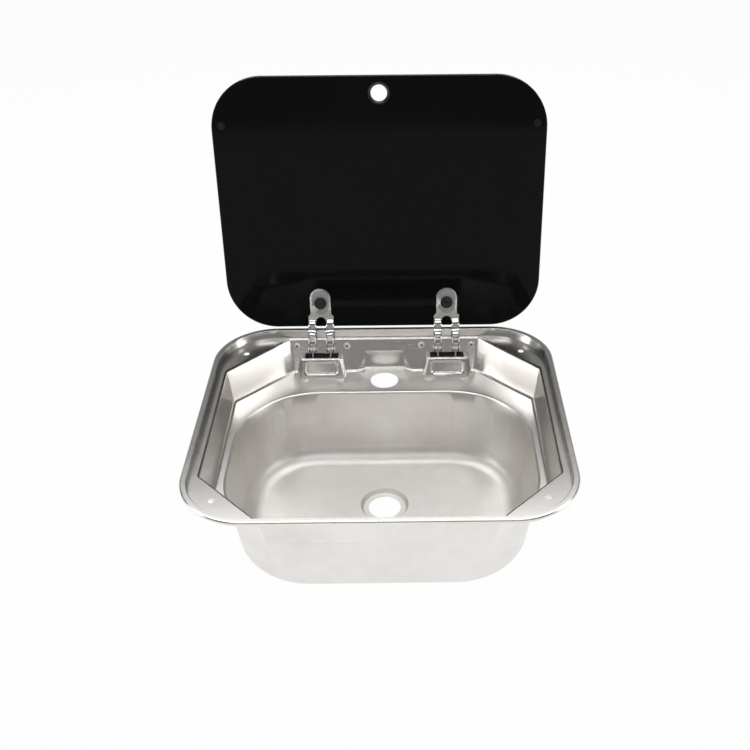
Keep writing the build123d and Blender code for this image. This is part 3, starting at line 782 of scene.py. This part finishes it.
def weigh_normals(piece):
    """Shades narrow bevels as rounds between the large faces beside them."""
    weights = piece.modifiers.new("Face weights", "WEIGHTED_NORMAL")
    weights.keep_sharp = True
    weights.weight = 100


def ease_edges(piece, width):
    """Rounds the sharp edges of a sheet metal piece."""
    bevel = piece.modifiers.new("Eased edges", "BEVEL")
    bevel.width = width
    bevel.segments = 2
    bevel.limit_method = "ANGLE"
    bevel.angle_limit = SOFT_TURN
    bevel.material = -1
    return piece


def paint(node, material):
    """Gives a CAD node its finish."""
    slots = frame["nodes"][node].material_slots
    if not slots:
        raise RuntimeError("node " + node + " has no material slot")
    for slot in slots:
        slot.link = "OBJECT"
        slot.material = material


# Pieces --------------------------------------------------------------------------------------


class SINK_OT_basin(Operator):
    """Pressed sink with its ledge, deck, bowl and plinths"""

    bl_idname = "camper_sink.basin"
    bl_label = "Basin"

    def execute(self, context):
        steel = context.scene.sink_steel
        bm = merged("sink_body")
        for side in SIDES:
            self.press_window(bm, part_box("slot_seal_" + side), context.scene.sink_pressing)
        shade(bm, SOFT_TURN)
        normals = settle_normals(bm)
        finishes = [pressed_steel(steel)]
        piece = add_piece("basin", bm, "sink", finishes, ["sink_body"])
        piece.data.normals_split_custom_set(normals)
        return {"FINISHED"}

    def press_window(self, bm, seal, sizes):
        """Presses a rounded window into both skins of the front of the plinth above a seal."""
        middle = (seal[0].x + seal[1].x) / 2
        lean = sizes.front_lean
        out = Vector((0, -cos(lean), sin(lean)))
        up = Vector((0, sin(lean), cos(lean)))

        def in_front(face):
            point = face.calc_center_median()
            near = abs(point.x - middle) < FRONT_REACH and abs(point.z - seal[0].z) < FRONT_HEIGHT
            level = abs(face.normal.dot(out)) > FRONT_LEVEL
            return near and level and face.calc_area() > FRONT_AREA

        fronts = [face for face in bm.faces if in_front(face)]
        outer = [face for face in fronts if face.normal.dot(out) > 0]
        inner = [face for face in fronts if face.normal.dot(out) < 0]
        for skin in (outer, inner):
            levels = {face: face.calc_center_median().dot(out) for face in skin}
            highest = max(levels.values())
            ring = [face for face in skin if highest - levels[face] < FRONT_STEP]
            floor = [face for face in skin if face not in ring]
            front = ring + self.close_pocket(bm, ring, floor)
            self.press_front(bm, front, middle, out, up, sizes)

    def close_pocket(self, bm, ring, floor):
        """Takes the plain pocket out of a front and closes the hole in the ring around it."""
        pocket = once(other for face in floor for edge in face.edges for other in edge.link_faces)
        bmesh.ops.delete(bm, geom=pocket, context="FACES")
        edges = once(edge for face in ring for edge in face.edges)
        hole = [edge for edge in edges if len(edge.link_faces) == 1]
        filled = bmesh.ops.edgeloop_fill(bm, edges=hole)["faces"]
        if not filled:
            raise RuntimeError("a plinth's front was left open")
        bm.normal_update()
        for face in filled:
            if face.normal.dot(ring[0].normal) < 0:
                face.normal_flip()
        return filled

    def press_front(self, bm, front, middle, out, up, sizes):
        """Slices a flat front into a fine grid and pushes its points in or out."""
        edges = once(edge for face in front for edge in face.edges)
        rim = [edge for edge in edges if any(face not in front for face in edge.link_faces)]
        outline = [[vertex.co.copy() for vertex in edge.verts] for edge in rim]
        points = [point for pair in outline for point in pair]
        top = max(point.dot(up) for point in points)
        faces = front
        for axis in (Vector((1, 0, 0)), up):
            places = [point.dot(axis) for point in points]
            for place in spread(min(places), max(places), sizes.grid):
                geom = faces + once(edge for face in faces for edge in face.edges)
                geom += once(vertex for face in faces for vertex in face.verts)
                cut = bmesh.ops.bisect_plane(
                    bm, geom=geom, dist=CUT_PLAY, plane_co=axis * place, plane_no=axis,
                )
                faces = [part for part in cut["geom"] if isinstance(part, bmesh.types.BMFace)]
        centre = top - sizes.window_drop - sizes.window_height / 2
        for vertex in once(vertex for face in faces for vertex in face.verts):
            to_rim = min(distance(vertex.co, *pair) for pair in outline)
            if to_rim > RIM_PLAY:
                place = Vector((vertex.co.x - middle, vertex.co.dot(up) - centre))
                vertex.co += out * self.push(place, to_rim, sizes)

    def push(self, place, to_rim, sizes):
        """How far a point of a front moves outwards, by its place from the middle of the window."""
        across = abs(place.x) + sizes.window_round - sizes.window_width / 2
        along = abs(place.y) + sizes.window_round - sizes.window_height / 2
        corner = Vector((max(across, 0), max(along, 0))).length
        outside = corner + min(max(across, along), 0) - sizes.window_round
        if outside > 0:
            width = outside + to_rim
            return sizes.window_swell * sin(pi * outside / width) * min(1, width / SWELL_WIDTH)
        share = min(-outside / sizes.window_wall, 1)
        return -sizes.window_depth * share * share * (3 - 2 * share)


class SINK_OT_seals(Operator):
    """Foam strip under the rim, and rubber seals in the slots of the plinths and on the lid"""

    bl_idname = "camper_sink.seals"
    bl_label = "Seals"

    def execute(self, context):
        lid = context.scene.sink_lid
        paint("rim_seal", strip_foam(lid))
        rubber = seal_rubber(lid)
        for side in SIDES:
            paint("slot_seal_" + side, rubber)
            paint("fork_gasket_" + side, rubber)
            paint("cap_washer_" + side, rubber)
        return {"FINISHED"}


class SINK_OT_brackets(Operator):
    """Riveted brackets whose ears hold the hinge pins"""

    bl_idname = "camper_sink.brackets"
    bl_label = "Hinge brackets"

    def execute(self, context):
        steel = context.scene.sink_steel
        material = bracket_steel()
        for side in SIDES:
            node = "hinge_bracket_" + side
            bm = merged(node)
            shade(bm, CRISP_TURN)
            piece = add_piece("bracket_" + side, bm, "sink", [material], [node])
            weigh_normals(ease_edges(piece, steel.edge_round))
        return {"FINISHED"}


class SINK_OT_rivets(Operator):
    """Blind rivets through the rear wall, with the hole of the mandrel in their crowns"""

    bl_idname = "camper_sink.rivets"
    bl_label = "Rivets"

    def execute(self, context):
        sizes = context.scene.sink_fasteners
        rivet = self.rivet(sizes)
        lean = sizes.wall_lean
        y = sizes.wall_top - sizes.rivet_drop * tan(lean)
        stand = Matrix.Rotation(pi / 2 - lean, 4, "X")
        hinge = hinge_middle()
        half = sizes.rivet_spacing / 2
        xs = [side * hinge + reach * half for side in (-1, 1) for reach in (-1, 1)]
        places = [Matrix.Translation((x, y, -sizes.rivet_drop)) @ stand for x in xs]
        bm = copies(rivet, places)
        rivet.free()
        shade(bm, RIVET_TURN)
        # The second finish paints the shade deep in each bore onto the mandrel stub
        finishes = [bright_steel(context.scene.sink_steel), mandrel_painted_shade()]
        add_piece("rivets", bm, "sink", finishes, ["bracket_rivets"])
        return {"FINISHED"}

    def rivet(self, sizes):
        """One rivet along Z, its dome above the sheets and its formed tail below them."""
        head = sizes.rivet_head / 2
        bore = sizes.rivet_bore / 2
        low = -sizes.rivet_grip
        crown, skirt = 0.0016, 0.00025
        lip, sunk = 0.0003, 0.00015
        stub_edge, stub_top = 0.0002, 0.0004
        shank, tail = 0.0024, 0.0035
        bulge, ease = 0.002, 0.0008
        foot = [(0, low - bulge), (tail * 0.6, low - bulge)]
        foot += arc((tail - ease, low - bulge + ease), ease, -90, 0)
        neck = [(tail, low), (shank, low), (shank, 0), (head, 0), (head, skirt)]
        dome = [
            (bore + lip + (head - bore - lip) * cos(turn), skirt + (crown - skirt) * sin(turn))
            for turn in [radians(15 * i) for i in range(1, 7)]
        ]
        hole = [(bore, crown - sunk), (bore, stub_edge), (0, stub_top)]
        rivet = turned(foot + neck + dome + hole, sizes.turned_steps)
        # The stub at the foot of the bore takes the second finish, which is painted shade
        for face in rivet.faces:
            middle = face.calc_center_median()
            face.material_index = int(middle.to_2d().length < bore * 0.99 and middle.z > 0)
        return rivet


class SINK_OT_pins(Operator):
    """Hinge pins through the arms of the forks and the ears of the brackets"""

    bl_idname = "camper_sink.pins"
    bl_label = "Hinge pins"

    def execute(self, context):
        sizes = context.scene.sink_fasteners
        pin = sizes.pin_diameter / 2
        head, ease, play = 0.00325, 0.0004, 0.00025
        half = sizes.arm_width / 2 + play
        top = half + sizes.pin_head
        profile = (
            [(0, -half)]
            + arc((pin - ease, ease - half), ease, -90, 0)
            + [(pin, half), (head, half)]
            + arc((head - ease, top - ease), ease, 0, 90)
            + [(head * 0.45, top), (0, top)]
        )
        shape = turned(profile, sizes.turned_steps)
        outward = {turn: Matrix.Rotation(turn * pi / 2, 4, "Y") for turn in (-1, 1)}
        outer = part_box("hinge_pins")[1].x - top
        inner = 2 * hinge_middle() - outer
        places = [
            Matrix.Translation((side * x, PIVOT.y, PIVOT.z)) @ outward[side * turn]
            for side in (-1, 1) for x, turn in ((inner, -1), (outer, 1))
        ]
        bm = copies(shape, places)
        shape.free()
        shade(bm, TURNED_TURN)
        finishes = [bright_steel(context.scene.sink_steel)]
        add_piece("hinge_pin_set", bm, "sink", finishes, ["hinge_pins"])
        return {"FINISHED"}


class SINK_OT_forks(Operator):
    """Folded hinge forks, with their arms at the pins and their tongues on the glass"""

    bl_idname = "camper_sink.forks"
    bl_label = "Hinge forks"

    def execute(self, context):
        steel = context.scene.sink_steel
        finishes = [fork_steel(steel), field_steel(steel)]
        for side in SIDES:
            node = "hinge_fork_" + side
            bm = merged(node)
            self.mark_field(bm, node)
            shade(bm, CRISP_TURN)
            piece = add_piece("fork_" + side, bm, "lid", finishes, [node])
            weigh_normals(ease_edges(piece, steel.edge_round))
        return {"FINISHED"}

    def mark_field(self, bm, node):
        """Gives the field that is pressed into the tongue the second finish."""
        back = SWING.inverted()
        down = back.to_3x3()
        top = shut_box(node)[1].z
        for face in bm.faces:
            depth = top - (back @ face.calc_center_median()).z
            level = (down @ face.normal).z < -FIELD_LEVEL
            if level and FIELD_DEPTH[0] < depth < FIELD_DEPTH[1] and face.calc_area() > FIELD_AREA:
                face.material_index = 1


class SINK_OT_clamps(Operator):
    """Clamp screws and cap nuts that hold the glass to the tongues"""

    bl_idname = "camper_sink.clamps"
    bl_label = "Glass clamps"

    def execute(self, context):
        sizes = context.scene.sink_fasteners
        coat = coated_metal(context.scene.sink_lid)
        for side in SIDES:
            bm = self.screw("clamp_screw_" + side, sizes)
            add_piece("screw_" + side, bm, "lid", [coat], ["clamp_screw_" + side])
            bm = self.cap("cap_nut_" + side, sizes)
            add_piece("cap_" + side, bm, "lid", [coat], ["cap_nut_" + side])
        return {"FINISHED"}

    def screw(self, node, sizes):
        """Screw with a low round head, its socket seen from under the lid."""
        low, high = shut_box(node)
        head = (high.x - low.x) / 2
        tall = high.z - low.z
        shank = sizes.screw_shank / 2
        socket = sizes.screw_socket / 2
        thick, ease, tip = 0.0022, 0.0006, 0.0004
        deep, cone = 0.0014, 0.0002
        lip, edge = 0.0002, 0.00025
        groove = ((0.66, 0), (0.70, 0.00018), (0.76, 0.00018), (0.80, 0))
        profile = (
            [(0, deep + cone), (socket, deep), (socket, lip), (socket + edge, 0)]
            + [(head * share, depth) for share, depth in groove]
            + arc((head - ease, ease), ease, -90, 0)
            + [(head, thick), (shank, thick), (shank, tall - tip), (shank - tip, tall), (0, tall)]
        )
        bm = turned(profile, sizes.turned_steps)
        for vertex in bm.verts:
            flat = vertex.co.to_2d()
            if vertex.co.z < (deep + thick) / 2 and WELD < flat.length < socket * 1.2:
                turn = (flat.angle_signed(Vector((1, 0))) + pi) % (pi / 3) - pi / 6
                vertex.co.xy = flat / cos(turn)
        return self.stand(bm, low, high)

    def cap(self, node, sizes):
        """Low domed nut on the top of the glass."""
        low, high = shut_box(node)
        rim = (high.x - low.x) / 2
        tall = high.z - low.z
        step, ease, inset = 0.0008, 0.0003, 0.0002
        crown = [
            ((rim - inset) * cos(turn), step + (tall - step) * sin(turn))
            for turn in [radians(9 * i) for i in range(1, 10)]
        ]
        profile = [(0, 0), (rim - ease, 0), (rim, ease), (rim, step)] + crown + [(0, tall)]
        return self.stand(turned(profile, sizes.turned_steps), low, high)

    def stand(self, bm, low, high):
        """Moves a turned shape to its place on the open lid."""
        centre = (low + high) / 2
        place = SWING @ Matrix.Translation((centre.x, centre.y, low.z))
        bmesh.ops.transform(bm, matrix=place, verts=bm.verts)
        shade(bm, TURNED_TURN)
        return bm


class SINK_OT_glass(Operator):
    """Black glass lid with ground edges and a finger hole"""

    bl_idname = "camper_sink.glass"
    bl_label = "Glass lid"

    def execute(self, context):
        lid = context.scene.sink_lid
        bm = merged("lid_glass")
        up = SWING.to_3x3() @ Vector((0, 0, 1))
        for face in bm.faces:
            face.material_index = int(abs(face.normal.dot(up)) < PANE_LEVEL)
        shade(bm, CRISP_TURN)
        finishes = [black_glass(lid), ground_glass()]
        weigh_normals(add_piece("glass_pane", bm, "lid", finishes, ["lid_glass"]))
        return {"FINISHED"}


class SINK_OT_bumpers(Operator):
    """Rubber bumpers that carry the front of the shut lid"""

    bl_idname = "camper_sink.bumpers"
    bl_label = "Lid bumpers"

    def execute(self, context):
        sizes = context.scene.sink_fasteners
        low, high = shut_box("lid_bumpers")
        tall = high.z - low.z
        radius = (high.y - low.y) / 2
        foot = radius * 0.72
        dimple, dip = 0.0003, 0.00012
        ease, flare, base = 0.0007, 0.0002, 0.0008
        profile = (
            [(0, dimple), (foot * 0.45, dip)]
            + arc((foot - ease, ease), ease, -90, 0)
            + [(foot + flare, tall * 0.55), (radius, tall - base), (radius, tall), (0, tall)]
        )
        shape = turned(profile, sizes.turned_steps)
        middle = (low.y + high.y) / 2
        xs = (low.x + radius, high.x - radius)
        bm = copies(shape, [SWING @ Matrix.Translation((x, middle, low.z)) for x in xs])
        shape.free()
        shade(bm, CRISP_TURN)
        rubber = seal_rubber(context.scene.sink_lid)
        add_piece("bumper_pair", bm, "lid", [rubber], ["lid_bumpers"])
        return {"FINISHED"}


# Stage ---------------------------------------------------------------------------------------


class SINK_OT_studio(Operator):
    """Pale floor, soft lamps and the camera"""

    bl_idname = "camper_sink.studio"
    bl_label = "Studio"

    def execute(self, context):
        studio = context.scene.sink_studio
        self.floor(context, studio)
        self.room(context, studio)
        for name, place, size, power in LAMPS:
            self.lamp(context, name, place, size, getattr(studio, power))
        self.camera(context, studio)
        context.scene.view_settings.view_transform = "Standard"
        return {"FINISHED"}

    def floor(self, context, studio):
        """Round floor under the bowl, plain white where it is seen and pale where it is lit."""
        bm = bmesh.new()
        bmesh.ops.create_circle(bm, cap_ends=True, segments=96, radius=studio.floor_radius)
        bmesh.ops.translate(bm, vec=(0, 0, CAD_BOX[0][2]), verts=bm.verts)
        mesh = bpy.data.meshes.new("floor")
        bm.to_mesh(mesh)
        bm.free()
        floor = bpy.data.objects.new("floor", mesh)
        context.scene.collection.objects.link(floor)
        finish = Finish("pale_floor", Roughness=0.9, Specular_IOR_Level=0.0)
        paper = finish.noise(3.0, 4.0)
        finish.colour(paper, (0.80, 0.80, 0.80), (0.83, 0.83, 0.83))
        rays = [finish.node("ShaderNodeLightPath", output=f"Is {ray} Ray") for ray in WHITE_FOR]
        share = (rays[0] + rays[1] + rays[2]) * studio.floor_glow
        white = finish.node("ShaderNodeEmission", {"Color": (1, 1, 1, 1), "Strength": 1.0})
        lit = Value(finish, finish.shader.outputs[0])
        mixed = finish.node("ShaderNodeMixShader", {0: share, 1: lit, 2: white})
        finish.feed(finish.tree.nodes["Material Output"].inputs["Surface"], mixed)
        mesh.materials.append(finish.material)

    def room(self, context, studio):
        """Room that is pale near the floor and darker above it."""
        world = bpy.data.worlds.new("room")
        world.use_nodes = True
        walls = Surroundings(world)
        height = walls.axis("Z").above(0.0, studio.wall_height)
        walls.main("Color", walls.blend(height, [studio.wall_grey] * 3, [studio.room_grey] * 3))
        context.scene.world = world

    def lamp(self, context, name, place, size, power):
        """Soft oblong lamp that faces the middle of the sink."""
        light = bpy.data.lights.new(name, "AREA")
        light.shape = "RECTANGLE"
        light.size, light.size_y = size
        light.energy = power
        lamp = bpy.data.objects.new(name, light)
        lamp.location = place
        lamp.rotation_euler = Vector(place).to_track_quat("Z", "Y").to_euler()
        context.scene.collection.objects.link(lamp)

    def camera(self, context, studio):
        """Camera with the place, the two directions, the lens and the shift of the settings."""
        data = bpy.data.cameras.new("camera")
        data.sensor_width = 36.0
        data.lens = studio.camera_lens
        data.shift_x, data.shift_y = studio.camera_shift
        camera = bpy.data.objects.new("camera", data)
        right = Vector(studio.camera_right).normalized()
        up = Vector(studio.camera_up)
        up = (up - right * right.dot(up)).normalized()
        turn = Matrix((right, up, right.cross(up))).transposed().to_4x4()
        camera.matrix_world = Matrix.Translation(studio.camera_place) @ turn
        context.scene.collection.objects.link(camera)
        context.scene.camera = camera


# Panel and registration ----------------------------------------------------------------------


class SINK_PT_panel(Panel):
    """Lists the sizes, the finishes and the pieces"""

    bl_idname = "SINK_PT_panel"
    bl_label = "Camper sink"
    bl_space_type = "VIEW_3D"
    bl_region_type = "UI"
    bl_category = "Camper sink"

    def draw(self, context):
        for name in SETTINGS:
            box = self.layout.box()
            group = getattr(context.scene, name)
            for key in group.__annotations__:
                box.prop(group, key)
        for operator in PIECES:
            self.layout.operator(operator.bl_idname)


SETTINGS = {
    "sink_steel": SteelSettings,
    "sink_pressing": PressingSettings,
    "sink_lid": LidSettings,
    "sink_fasteners": FastenerSettings,
    "sink_studio": StudioSettings,
}
PIECES = (
    SINK_OT_basin, SINK_OT_seals, SINK_OT_brackets, SINK_OT_rivets, SINK_OT_pins, SINK_OT_forks,
    SINK_OT_clamps, SINK_OT_glass, SINK_OT_bumpers, SINK_OT_studio,
)


def register():
    for kind in (*SETTINGS.values(), *PIECES, SINK_PT_panel):
        bpy.utils.register_class(kind)
    for name, group in SETTINGS.items():
        setattr(bpy.types.Scene, name, PointerProperty(type=group))


def unregister():
    for name in SETTINGS:
        delattr(bpy.types.Scene, name)
    for kind in reversed((*SETTINGS.values(), *PIECES, SINK_PT_panel)):
        bpy.utils.unregister_class(kind)


def main():
    """Makes every piece and the stage."""
    register()
    for operator in PIECES:
        module, name = operator.bl_idname.split(".")
        getattr(getattr(bpy.ops, module), name)()


if __name__ == "__main__":
    main()
